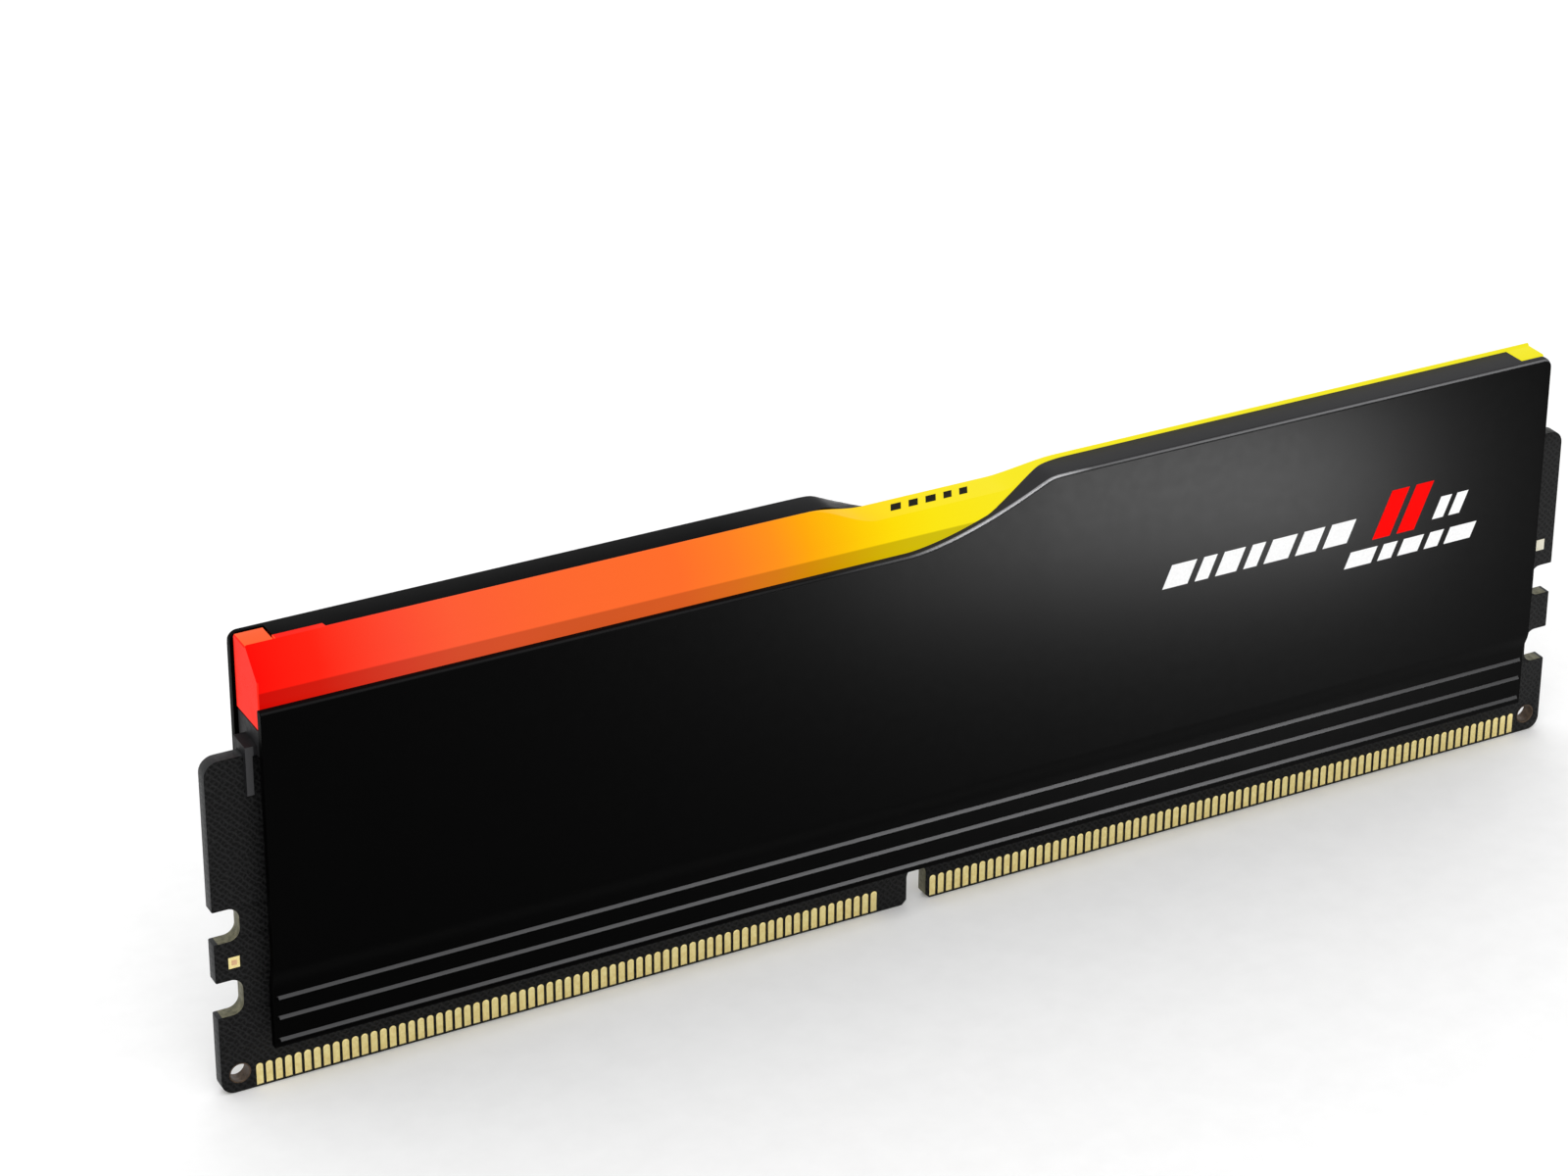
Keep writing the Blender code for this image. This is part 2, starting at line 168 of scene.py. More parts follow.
def addBump(finish, shader, height, strength, depth):
    bump = addNode(finish, "Bump", {"Height": height, "Strength": strength, "Distance": depth * mm})
    wire(finish, bump.outputs["Normal"], shader.inputs["Normal"])


def makeSpeckled(name, colour, paler, roughness, specular, metallic=0.0, scale=1500, bump=0.12, depth=0.02):
    finish, shader = startFinish(name, colour, roughness[0], metallic, specular)
    fine = noiseOn(finish, scale, 4.0, 0.6)
    broad = noiseOn(finish, scale / 12, 2.0)
    tone = spread(finish, fine, 0.0, 1.0)
    wire(finish, blendColours(finish, tone, (*colour, 1), (*paler, 1)), shader.inputs["Base Color"])
    wire(finish, spread(finish, broad, *roughness), shader.inputs["Roughness"])
    addBump(finish, shader, fine, bump, depth)
    return finish


anodisedLook = {
    "colour": (0.0002, 0.0002, 0.0002),
    "paler": (0.0006, 0.0006, 0.0006),
    "roughness": (0.37, 0.40),
    "specular": 0.012,
    "grainScale": 11000,
    "grainStrength": 0.10,
    # painted highlights and sheen, fixed to the surface so they don't follow the light; lengths in
    # millimetres
    "paintedEdgeHighlight": (0.036, 0.036, 0.037),  # painted highlight on the ribs and the edge of the fold
    "edgeTilt": (0.30, 0.60, 0.84, 0.97),  # how far the surface turns up: begins, full, full, ends
    "edgeForward": (0.25, 0.45),
    # painted highlight on the fold's bend along the sweep, brighter than on the ribs
    "paintedSweepHighlight": (0.20, 0.20, 0.205),
    "sweepSpan": (-4.0, 2.0, 9.0, 14.0),
    "foldAbove": 30.0,
    "foldHighlightDimSpan": (-12.0, -2.0, 0.85),  # left of here the fold's painted edge highlight loses this share
    "ribHighlightFade": (-25.0, 50.0, 0.22),  # from here to here the ribs' painted highlight gets darker, down to this share
    # painted sheen on the up-facing top of the fold
    "paintedFoldTopSheen": (0.024, 0.024, 0.025),
    "topTilt": (0.5, 0.7),
    "foldSheenSpan": (-20.0, 4.0, 0.1),  # the painted sheen on the fold's top gets paler from here to here, from this share up
}


def makeAnodised():
    look = anodisedLook
    finish, shader = startFinish("anodisedBlack", look["colour"], look["roughness"][0],
                                 specular=look["specular"])
    length, _, height = addNode(finish, "SeparateXYZ", {0: placeOn(finish)}).outputs
    facing = addNode(finish, "NewGeometry").outputs["Normal"]
    _, outward, up = addNode(finish, "SeparateXYZ", {0: facing}).outputs
    grain = noiseOn(finish, look["grainScale"], 2.0)
    plain = blendColours(finish, grain, (*look["colour"], 1), (*look["paler"], 1))

    # painted highlight: faces turned up and forward get the paler highlight colour
    begins, full, fullTo, ends = look["edgeTilt"]
    tilt = calculate(finish, "MULTIPLY", spread(finish, up, 0.0, 1.0, begins, full),
                     spread(finish, up, 1.0, 0.0, fullTo, ends))
    forward = spread(finish, calculate(finish, "ABSOLUTE", outward), 0.0, 1.0, *look["edgeForward"])
    edge = calculate(finish, "MULTIPLY", tilt, forward)

    onFold = calculate(finish, "GREATER_THAN", height, look["foldAbove"] * mm)
    # where the brighter painted sweep highlight takes the place of the edge highlight
    start, full, fading, end = [place * mm for place in look["sweepSpan"]]
    swept = calculate(finish, "MULTIPLY", spread(finish, length, 0.0, 1.0, start, full),
                      spread(finish, length, 1.0, 0.0, fading, end))
    swept = calculate(finish, "MULTIPLY", swept, onFold)
    # painted shade: the fold's edge highlight is dimmed towards the left end
    near, far, share = look["foldHighlightDimSpan"]
    leftHighlightCut = calculate(finish, "MULTIPLY", onFold, spread(finish, length, share, 0.0, near * mm, far * mm))
    edge = calculate(finish, "MULTIPLY", edge, calculate(finish, "SUBTRACT", 1.0, leftHighlightCut))
    # painted shade: the highlight on the ribs fades along the length
    near, far, share = look["ribHighlightFade"]
    fade = spread(finish, length, 1.0, share, near * mm, far * mm)
    edge = calculate(finish, "MULTIPLY", edge, calculate(finish, "MAXIMUM", fade, onFold))
    paintedHighlightColour = blendColours(finish, swept, (*look["paintedEdgeHighlight"], 1), (*look["paintedSweepHighlight"], 1))

    # painted sheen: up-facing fold tops get the paler sheen colour, growing along the length
    near, far, share = look["foldSheenSpan"]
    top = calculate(finish, "MULTIPLY", spread(finish, up, 0.0, 1.0, *look["topTilt"]),
                    calculate(finish, "SUBTRACT", 1.0, forward))
    top = calculate(finish, "MULTIPLY", top, spread(finish, length, share, 1.0, near * mm, far * mm))
    colour = blendColours(finish, top, plain, (*look["paintedFoldTopSheen"], 1))
    colour = blendColours(finish, edge, colour, paintedHighlightColour)
    wire(finish, colour, shader.inputs["Base Color"])
    wire(finish, spread(finish, noiseOn(finish, 900, 3.0), *look["roughness"]), shader.inputs["Roughness"])
    addBump(finish, shader, grain, look["grainStrength"], 0.006)
    return finish


boardLook = {
    "mask": (0.0008, 0.0008, 0.0009),
    "maskPaler": (0.015, 0.0152, 0.0155),
    "laminate": (0.21, 0.20, 0.13),
    "laminateDark": (0.07, 0.068, 0.045),
    # painted shade: the board's outer edges, and its edges high up, are darker than the lit notch faces
    "shadedOuterEdge": (0.026, 0.027, 0.028),
    "shadedEdgeFrom": 66.3,
    "shadedEdgeAbove": 21.0,
    "weavePitch": 0.46,
    "layerPitch": 0.16,
    "weaveStrength": 1.0,
    "roughness": (0.35, 0.55),
    "specular": 0.10,
}


def makeBoardFinish():
    look = boardLook
    finish, shader = startFinish("boardMask", look["mask"], look["roughness"][0],
                                 specular=look["specular"])
    place = placeOn(finish)
    parts = addNode(finish, "SeparateXYZ", {0: place})
    wander = calculate(finish, "MULTIPLY", noiseOn(finish, 1300, 4.0), 9.0)
    beat = 2 * math.pi / (look["weavePitch"] * mm)
    across = calculate(finish, "ADD", parts.outputs["X"], parts.outputs["Z"])
    along = calculate(finish, "SUBTRACT", parts.outputs["X"], parts.outputs["Z"])
    threads = []
    for run in (across, along):
        turn = calculate(finish, "ADD", calculate(finish, "MULTIPLY", run, beat * 0.7071), wander)
        threads.append(calculate(finish, "SINE", turn))
    weave = calculate(finish, "MAXIMUM", threads[0], calculate(finish, "MULTIPLY", threads[1], 0.6))
    fleck = noiseOn(finish, 5200, 3.0, 0.65)
    relief = calculate(finish, "ADD", calculate(finish, "MULTIPLY", weave, 0.35), fleck)
    mask = blendColours(finish, spread(finish, relief, 0.0, 1.0, 0.45, 1.0), (*look["mask"], 1),
                        (*look["maskPaler"], 1))
    layerBeat = 2 * math.pi / (look["layerPitch"] * mm)
    layers = calculate(finish, "SINE", calculate(finish, "MULTIPLY", parts.outputs["Y"], layerBeat))
    grainy = calculate(finish, "ADD", calculate(finish, "MULTIPLY", layers, 0.2), noiseOn(finish, 2600, 3.0))
    laminate = blendColours(finish, spread(finish, grainy, 0.0, 1.0, 0.25, 0.85),
                            (*look["laminateDark"], 1), (*look["laminate"], 1))
    # painted shade: edges beyond the notches or above the given height get the darker edge colour
    outerEdgeShade = calculate(finish, "GREATER_THAN", calculate(finish, "ABSOLUTE", parts.outputs["X"]),
                       look["shadedEdgeFrom"] * mm)
    high = calculate(finish, "GREATER_THAN", parts.outputs["Z"], look["shadedEdgeAbove"] * mm)
    outerEdgeShade = calculate(finish, "MAXIMUM", outerEdgeShade, high)
    rim = blendColours(finish, outerEdgeShade, laminate, (*look["shadedOuterEdge"], 1))
    facing = addNode(finish, "SeparateXYZ", {0: addNode(finish, "NewGeometry").outputs["Normal"]})
    onFace = calculate(finish, "GREATER_THAN", calculate(finish, "ABSOLUTE", facing.outputs["Y"]), 0.5)
    wire(finish, blendColours(finish, onFace, rim, mask), shader.inputs["Base Color"])
    wire(finish, spread(finish, fleck, *look["roughness"]), shader.inputs["Roughness"])
    addBump(finish, shader, relief, look["weaveStrength"], 0.03)
    return finish


goldLook = {
    "colour": (1.0, 0.87, 0.42),
    "deeper": (0.87, 0.70, 0.29),
    "roughness": (0.14, 0.26),
    "metallic": 0.95,
}


def makeGold():
    look = goldLook
    return makeSpeckled("contactGold", look["deeper"], look["colour"], look["roughness"], 0.5,
                        look["metallic"], scale=2400, bump=0.06, depth=0.01)


plasticLook = {
    "dark": (0.006, 0.006, 0.007),
    "paler": (0.018, 0.018, 0.019),
    "leg": (0.055, 0.055, 0.057),  # painted light: the legs' outer faces drawn paler than the rail, as if lit
    "legFrom": 62.6,
    "roughness": (0.45, 0.6),
    "specular": 0.12,
}


def makeBlackPlastic():
    look = plasticLook
    finish, shader = startFinish("blackPlastic", look["dark"], look["roughness"][0],
                                 specular=look["specular"])
    parts = addNode(finish, "SeparateXYZ", {0: placeOn(finish)})
    grain = noiseOn(finish, 2200, 3.0)
    colour = blendColours(finish, grain, (*look["dark"], 1), (*look["paler"], 1))
    facing = addNode(finish, "SeparateXYZ", {0: addNode(finish, "NewGeometry").outputs["Normal"]})
    onFace = calculate(finish, "GREATER_THAN", calculate(finish, "ABSOLUTE", facing.outputs["Y"]), 0.7)
    # painted light on the front-facing faces of the legs
    onLeg = calculate(finish, "GREATER_THAN", calculate(finish, "ABSOLUTE", parts.outputs["X"]),
                      look["legFrom"] * mm)
    colour = blendColours(finish, calculate(finish, "MULTIPLY", onFace, onLeg), colour, (*look["leg"], 1))
    wire(finish, colour, shader.inputs["Base Color"])
    wire(finish, spread(finish, grain, *look["roughness"]), shader.inputs["Roughness"])
    addBump(finish, shader, grain, 0.12, 0.01)
    return finish


def makePaint(name, colour, paler, roughness=(0.45, 0.6), specular=0.4):
    return makeSpeckled(name, colour, paler, roughness, specular, scale=4200, bump=0.10, depth=0.006)


glowLook = {
    "stops": [(-62.5, (255, 8, 3)), (-57, (255, 34, 17)), (-50, (254, 74, 48)), (-45, (254, 92, 53)),
              (-36, (254, 103, 47)), (-25, (255, 110, 42)), (-20, (255, 127, 36)), (-16, (255, 146, 26)),
              (-13, (255, 168, 8)), (-10, (254, 190, 3)), (-8, (254, 204, 2)), (-5, (254, 221, 4)),
              (-1, (252, 230, 16)), (10, (248, 234, 36)), (35, (246, 234, 44)), (62.5, (244, 233, 40))],
    # painted shadow: upright faces below this height glow dimmer, as if shaded by the holder and board
    "shadowBandTop": 37.35,
    "shadowBandDim": 0.34,
    "strength": 1.0,
    "base": (0.002, 0.0015, 0.001),
    "roughness": (0.20, 0.30),
    "specular": 0.012,
    "endFace": (255, 42, 26),
    "endTop": (255, 97, 46),
    "endStart": -59.8,
}


def makeGlow():
    look = glowLook
    finish, shader = startFinish("litDiffuser", look["base"], look["roughness"][0],
                                 specular=look["specular"])
    parts = addNode(finish, "SeparateXYZ", {0: placeOn(finish)})
    first, last = look["stops"][0][0], look["stops"][-1][0]
    along = spread(finish, parts.outputs["X"], 0.0, 1.0, first * mm, last * mm)
    ramp = addNode(finish, "ValToRGB", {"Fac": along})
    stops = ramp.color_ramp.elements
    for number, (x, tone) in enumerate(look["stops"]):
        at = (x - first) / (last - first)
        if number == 0:
            stop = stops[0]
        elif number == len(look["stops"]) - 1:
            stop = stops[-1]
        else:
            stop = stops.new(at)
        stop.position = at
        stop.color = linear(*tone)
    facing = addNode(finish, "SeparateXYZ", {0: addNode(finish, "NewGeometry").outputs["True Normal"]})
    # painted shadow on the lower band of the upright faces, mottled
    upright = calculate(finish, "GREATER_THAN", calculate(finish, "ABSOLUTE", facing.outputs["Y"]), 0.85)
    edge = look["shadowBandTop"] * mm
    low = spread(finish, parts.outputs["Z"], 1.0, 0.0, edge - 0.07 * mm, edge + 0.07 * mm)
    mottle = spread(finish, noiseOn(finish, 60, 1.0), 0.85, 1.1)
    shade = calculate(finish, "MULTIPLY", calculate(finish, "MULTIPLY", upright, low), mottle)
    bright = calculate(finish, "SUBTRACT", 1.0, calculate(finish, "MULTIPLY", shade, look["shadowBandDim"]))
    atEnd = calculate(finish, "LESS_THAN", parts.outputs["X"], look["endStart"] * mm)
    sideways = calculate(finish, "GREATER_THAN", calculate(finish, "ABSOLUTE", facing.outputs["X"]), 0.7)
    upward = calculate(finish, "GREATER_THAN", facing.outputs["Z"], 0.9)
    glow = blendColours(finish, calculate(finish, "MULTIPLY", atEnd, sideways), ramp.outputs["Color"],
                        linear(*look["endFace"]))
    glow = blendColours(finish, calculate(finish, "MULTIPLY", atEnd, upward), glow, linear(*look["endTop"]))
    wire(finish, glow, shader.inputs["Emission Color"])
    wire(finish, calculate(finish, "MULTIPLY", bright, look["strength"]), shader.inputs["Emission Strength"])
    wire(finish, spread(finish, noiseOn(finish, 700, 2.0), *look["roughness"]), shader.inputs["Roughness"])
    addBump(finish, shader, noiseOn(finish, 1200, 2.0), 0.04, 0.01)
    return finish


anodisedBlack = makeAnodised()
boardMask = makeBoardFinish()
contactGold = makeGold()
litDiffuser = makeGlow()
platedCopper = makeSpeckled("platedCopper", (0.03, 0.018, 0.010), (0.10, 0.062, 0.036), (0.35, 0.5),
                            0.3, 0.3, scale=3000)
mouldedChip = makeSpeckled("mouldedChip", (0.012, 0.012, 0.013), (0.028, 0.028, 0.030), (0.5, 0.65), 0.35,
                           scale=5200, bump=0.35)
ferriteGrey = makeSpeckled("ferriteGrey", (0.030, 0.030, 0.033), (0.075, 0.075, 0.080), (0.55, 0.75), 0.3,
                           scale=3600, bump=0.4)
firedCeramic = makeSpeckled("firedCeramic", (0.24, 0.17, 0.11), (0.40, 0.30, 0.20), (0.3, 0.45), 0.5,
                            scale=3000, bump=0.15)
lampResin = makeSpeckled("lampResin", (0.75, 0.72, 0.50), (0.92, 0.90, 0.72), (0.25, 0.4), 0.5, scale=1800)
softPad = makeSpeckled("softPad", (0.30, 0.34, 0.38), (0.46, 0.50, 0.54), (0.75, 0.9), 0.25, scale=1600,
                       bump=0.5, depth=0.04)
blackPlastic = makeBlackPlastic()
bareCopper = makeSpeckled("bareCopper", (0.62, 0.36, 0.18), (0.80, 0.50, 0.28), (0.3, 0.4), 0.5, 0.3,
                          scale=2600)
palePlate = makeSpeckled("palePlate", (0.72, 0.68, 0.52), (0.84, 0.81, 0.68), (0.3, 0.45), 0.5, 0.1,
                         scale=2600)
labelPaper = makeSpeckled("labelPaper", (0.66, 0.66, 0.65), (0.78, 0.78, 0.76), (0.4, 0.55), 0.4, scale=2500,
                          bump=0.15)
labelInk = makePaint("labelInk", (0.05, 0.05, 0.055), (0.09, 0.09, 0.095))
whitePrint = makePaint("whitePrint", (0.86, 0.86, 0.86), (0.95, 0.95, 0.95))
redPrint = makePaint("redPrint", (0.90, 0.001, 0.001), (1.0, 0.003, 0.002), specular=0.02)
barPrint = makePaint("barPrint", (0.004, 0.004, 0.001), (0.012, 0.010, 0.003), specular=0.02)
print("finishes made")


# circuit board

boardShape = {
    "halfLength": 66.675,
    "height": 31.25,
    "halfThickness": 0.635,
    "topRadius": 1.3,
    "bottomRadius": 1.2,
    "notchDepth": 2.3,
    "notches": ((7.5, 10.8), (14.5, 17.5)),
    "notchRadius": 1.0,
    "keyCentre": -1.25,
    "keyWidth": 1.9,
    "keyDepth": 3.6,
    "keyMouth": 0.45,
    "holeRadius": 0.9,
    "holeInset": 1.65,
    "holeHeight": 1.8,
    "edgeBreak": 0.06,
    "cornerBreak": 0.12,
}


def boardRightEnd():
    shape = boardShape
    end = shape["halfLength"]
    inner = end - shape["notchDepth"]
    radius = shape["notchRadius"]
    nick = shape["cornerBreak"]
    low = shape["bottomRadius"]
    points = arcPoints((end - low, low), low, -90, 0, 10)
    for bottom, top in shape["notches"]:
        points += arcPoints((end - nick, bottom - nick), nick, 0, 90, 3)
        points += arcPoints((inner + radius, bottom + radius), radius, -90, -180, 9)
        points += arcPoints((inner + radius, top - radius), radius, 180, 90, 9)
        points += arcPoints((end - nick, top + nick), nick, -90, 0, 3)
    high = shape["topRadius"]
    return points + arcPoints((end - high, shape["height"] - high), high, 0, 90, 10)


def boardKey():
    shape = boardShape
    half = shape["keyWidth"] / 2
    left, right = shape["keyCentre"] - half, shape["keyCentre"] + half
    mouth = shape["keyMouth"]
    crown = arcPoints((shape["keyCentre"], shape["keyDepth"] - half), half, 180, 0, 18)
    return [(left - mouth, 0.0), (left, mouth)] + crown + [(right, mouth), (right + mouth, 0.0)]


def makeBoard():
    shape = boardShape
    right = boardRightEnd()
    left = [(-x, z) for x, z in reversed(right)]
    outlines = [right + left + boardKey()]
    for side in (-1, 1):
        centre = (side * (shape["halfLength"] - shape["holeInset"]), shape["holeHeight"])
        outlines.append(arcPoints(centre, shape["holeRadius"], 0, 350, 35))
    nick = shape["edgeBreak"]
    curve = bpy.data.curves.new("boardOutline", "CURVE")
    curve.dimensions = "2D"
    curve.fill_mode = "BOTH"
    curve.extrude = (shape["halfThickness"] - nick) * mm
    curve.bevel_depth = nick * mm
    curve.bevel_resolution = 1
    curve.offset = -nick * mm
    for outline in outlines:
        spline = curve.splines.new("POLY")
        spline.points.add(len(outline) - 1)
        spline.use_cyclic_u = True
        for point, (x, z) in zip(spline.points, outline):
            point.co = (x * mm, z * mm, 0, 1)
    flat = bpy.data.objects.new("boardOutline", curve)
    scene.collection.objects.link(flat)
    solid = bpy.data.meshes.new_from_object(flat.evaluated_get(bpy.context.evaluated_depsgraph_get()))
    bpy.data.objects.remove(flat)
    bm = bmesh.new()
    bm.from_mesh(solid)
    bpy.data.meshes.remove(solid)
    bmesh.ops.rotate(bm, matrix=Matrix.Rotation(math.pi / 2, 3, "X"), verts=bm.verts)
    bmesh.ops.scale(bm, vec=(1 / mm, 1 / mm, 1 / mm), verts=bm.verts)
    bmesh.ops.remove_doubles(bm, verts=bm.verts, dist=0.002)
    finishPiece("boardPanel", bm, boardMask, ["circuit_board"])


linerShape = {"radius": 0.9, "wall": 0.06, "padWidth": 0.05, "padRise": 0.02, "steps": 40}


def makeHoleLiners():
    shape = linerShape
    out = boardShape["halfThickness"]
    outer, inner = shape["radius"] - 0.005, shape["radius"] - shape["wall"]
    rim = outer + shape["padWidth"]
    high = out + shape["padRise"]
    height = boardShape["holeHeight"]
    lathe = [(inner, -high + 0.02), (inner + 0.02, -high), (rim, -high), (rim, -out), (outer, -out),
             (outer, out), (rim, out), (rim, high), (inner + 0.02, high), (inner, high - 0.02)]
    for side, word in ((-1, "Left"), (1, "Right")):
        centre = side * (boardShape["halfLength"] - boardShape["holeInset"])
        bm = bmesh.new()
        turns = []
        for step in range(shape["steps"]):
            a = 2 * math.pi * step / shape["steps"]
            turns.append([bm.verts.new((centre + r * math.cos(a), y, height + r * math.sin(a)))
                          for r, y in lathe])
        for near, far in zip(turns, turns[1:] + turns[:1]):
            for i in range(len(lathe)):
                j = (i + 1) % len(lathe)
                bm.faces.new((near[i], near[j], far[j], far[i]))
        finishPiece(f"holeLiner{word}", bm, platedCopper, smooth=40)


padShape = {
    "left": (-65.0, 12.45, 0.98, 1.05),
    "right": (65.15, 19.7, 0.9, 1.1),
    "centre": 0.46,
    "rise": 0.03,
}


def makeTestPads():
    shape = padShape
    out = boardShape["halfThickness"]
    for word in ("left", "right"):
        x, z, width, height = shape[word]
        bm = bmesh.new()
        outline = [(x - width / 2, z - height / 2), (x + width / 2, z - height / 2),
                   (x + width / 2, z + height / 2), (x - width / 2, z + height / 2)]
        addPlate(bm, outline, out - 0.01, out + shape["rise"], 0.015)
        finishPiece(f"testPad{word.title()}", bm, contactGold if word == "left" else palePlate)
    x, z = shape["left"][:2]
    half = shape["centre"] / 2
    bm = bmesh.new()
    dot = [(x - half, z - half), (x + half, z - half), (x + half, z + half), (x - half, z + half)]
    addPlate(bm, dot, out + shape["rise"] - 0.01, out + shape["rise"] + 0.012)
    finishPiece("testPadCentre", bm, bareCopper)


makeBoard()
makeHoleLiners()
makeTestPads()
print("board made")


# gold contacts

contactShape = {
    "first": -63.325,
    "pitch": 0.85,
    "width": 0.60,
    "bottom": 0.20,
    "top": 2.24,
    "rise": 0.06,
    "rim": 0.07,
    "beforeKey": 69,
    "afterKey": 75,
    "keyPitches": 6,
}


def fingerOutline(centre):
    shape = contactShape
    half = shape["width"] / 2
    foot = 0.04
    points = arcPoints((centre + half - foot, shape["bottom"] + foot), foot, -90, 0, 3)
    points += arcPoints((centre, shape["top"] - half), half, 0, 180, 10)
    points += arcPoints((centre - half + foot, shape["bottom"] + foot), foot, 180, 270, 3)
    return points


def makeContactRows():
    shape = contactShape
    out = boardShape["halfThickness"]
    afterKey = shape["first"] + (shape["beforeKey"] + shape["keyPitches"]) * shape["pitch"]
    runs = {"Left": (shape["first"], shape["beforeKey"]), "Right": (afterKey, shape["afterKey"])}
    for face, side in (("Front", -1), ("Rear", 1)):
        for word, (first, count) in runs.items():
            bm = bmesh.new()
            for number in range(count):
                centre = first + number * shape["pitch"]
                addPlate(bm, fingerOutline(centre), out - 0.01, out + shape["rise"], shape["rim"], side)
            node = f"contacts_{face.lower()}_{word.lower()}"
            finishPiece(f"goldFingers{face}{word}", bm, contactGold, [node], smooth=28)


makeContactRows()
print("contacts made")


# heat spreaders

spreaderShape = {
    "halfLength": 62.6,
    "frontFace": 3.3,
    "rearFace": 3.5,
    "printRoom": 0.03,
    "sheet": 0.7,
    "bend": 0.35,
    "bottom": 4.6,
    "lowTop": 36.1,
    "highTop": 40.45,
    "endRadius": 0.8,
    "sweepStart": -4.0,
    "sweepEnd": 10.0,
    "sweepPower": 1.6,
    "sweepCrown": 0.12,
    "foldEdge": 0.25,
    "foldShallowEdge": 0.75,
    "foldStart": 0.0,
    "foldFull": 13.0,
    "foldStep": 55.5,
    "foldEnd": 59.7,
    "foldSheet": 0.6,
    "skirtTop": 12.4,
    "skirtStep": 10.2,
    "skirtSetBack": 0.6,
    "ribs": (9.3, 7.4, 5.3),
    "ribWidth": 0.40,
    # shares of the rib's depth and half width, from its top to its bottom
    "ribLine": ((0.0, 1.0), (0.12, 0.93), (0.5, 0.5), (0.88, 0.08), (1.0, -0.12), (0.97, -0.45),
                (0.75, -0.7), (0.15, -0.92), (0.0, -1.0)),
    "ribProud": 0.24,
    "ribEnd": 62.2,
}


def spreaderTop(x):
    shape = spreaderShape
    share = max((x - shape["sweepStart"]) / (shape["sweepEnd"] - shape["sweepStart"]), 0.0)
    climb = shape["lowTop"] + (shape["highTop"] - shape["lowTop"]) * share ** shape["sweepPower"]
    apart = climb - shape["highTop"]
    height = (climb + shape["highTop"] - math.sqrt(apart * apart + 4 * shape["sweepCrown"] ** 2)) / 2
    past = x - (shape["halfLength"] - shape["endRadius"])
    if past > 0:
        height -= shape["endRadius"] - math.sqrt(max(shape["endRadius"] ** 2 - past ** 2, 0.0))
    return height


def foldEdge(x, face):  # how far the fold's inner edge stays from the board's mid-plane
    shape = spreaderShape
    plain = face - shape["sheet"] - 0.02
    if x >= shape["foldEnd"]:
        return plain
    stepped = x > shape["foldStep"] and face > shape["frontFace"]  # the rear fold only
    inner = shape["foldShallowEdge"] if stepped else shape["foldEdge"]
    reach = (face - inner) * softStep((x - shape["foldStart"]) / (shape["foldFull"] - shape["foldStart"]))
    return min(plain, face - reach)


def spreaderProfile(x, face, trim):
    shape = spreaderShape
    skirt = face - shape["skirtSetBack"] - trim
    inside = face - shape["sheet"]
    outside = face - trim
    top = spreaderTop(x) - trim
    edge = foldEdge(x, face)
    bend = shape["bend"]
    nick = 0.06
    proud = shape["ribProud"] - trim if abs(x) < shape["ribEnd"] else 0.01
    line = [(edge, top - nick), (edge + nick * 0.3, top - nick * 0.3), (edge + nick, top)]
    line += arcPoints((outside - bend, top - bend), bend, 90, 0, 7)
    step = shape["skirtTop"] - shape["skirtStep"]
    for share in (0.0, 0.12, 0.3, 0.5, 0.7, 0.88, 1.0):
        line.append((outside + (skirt - outside) * softStep(share), shape["skirtTop"] - step * share))
    for height in shape["ribs"]:
        half = shape["ribWidth"] / 2
        for share, rise in shape["ribLine"]:
            line.append((skirt + proud * share, height + half * rise))
    line += [(skirt, shape["bottom"] + nick), (skirt - nick * 0.3, shape["bottom"] + nick * 0.3),
             (skirt - nick, shape["bottom"])]
    base = face - shape["skirtSetBack"] - shape["sheet"]
    line += [(base, shape["bottom"]), (base, shape["skirtStep"] + 0.2), (inside, shape["skirtTop"] + 0.3),
             (inside, top - shape["foldSheet"] - 0.05), (edge, top - shape["foldSheet"])]
    return line


def spreaderStations():
    shape = spreaderShape
    end = shape["halfLength"]
    hair = 0.05
    places = [-end + hair, -shape["ribEnd"] - hair, -shape["ribEnd"] + hair]
    places += [-60 + 4 * step for step in range(14)]
    places += [shape["sweepStart"] + 0.4 * step for step in range(48)]
    places += [16 + 4 * step for step in range(10)]
    places += [shape["foldStep"] - hair, shape["foldStep"] + hair, shape["foldEnd"] - hair, shape["foldEnd"]]
    places += [end - shape["endRadius"] * share for share in (1.0, 0.85, 0.7, 0.55, 0.42, 0.3, 0.2, 0.12)]
    places += [shape["ribEnd"] - hair, shape["ribEnd"] + hair, end - hair]
    return sorted(set(round(place, 4) for place in places))


def makeSpreader(name, node, face, turn):
    shape = spreaderShape
    bm = bmesh.new()
    places = [(-shape["halfLength"], 0.05)]
    places += [(x, 0.0) for x in spreaderStations()]
    places.append((shape["halfLength"], 0.05))
    rings = []
    for x, trim in places:
        rings.append([(turn * x, -turn * out, up) for out, up in spreaderProfile(x, face, trim)])
    addLoft(bm, rings)
    return finishPiece(name, bm, anodisedBlack, [node], smooth=30)


frontSpreader = makeSpreader("frontSpreader", "heat_spreader_front",
                             spreaderShape["frontFace"] - spreaderShape["printRoom"], 1)
rearSpreader = makeSpreader("rearSpreader", "heat_spreader_rear", spreaderShape["rearFace"], -1)

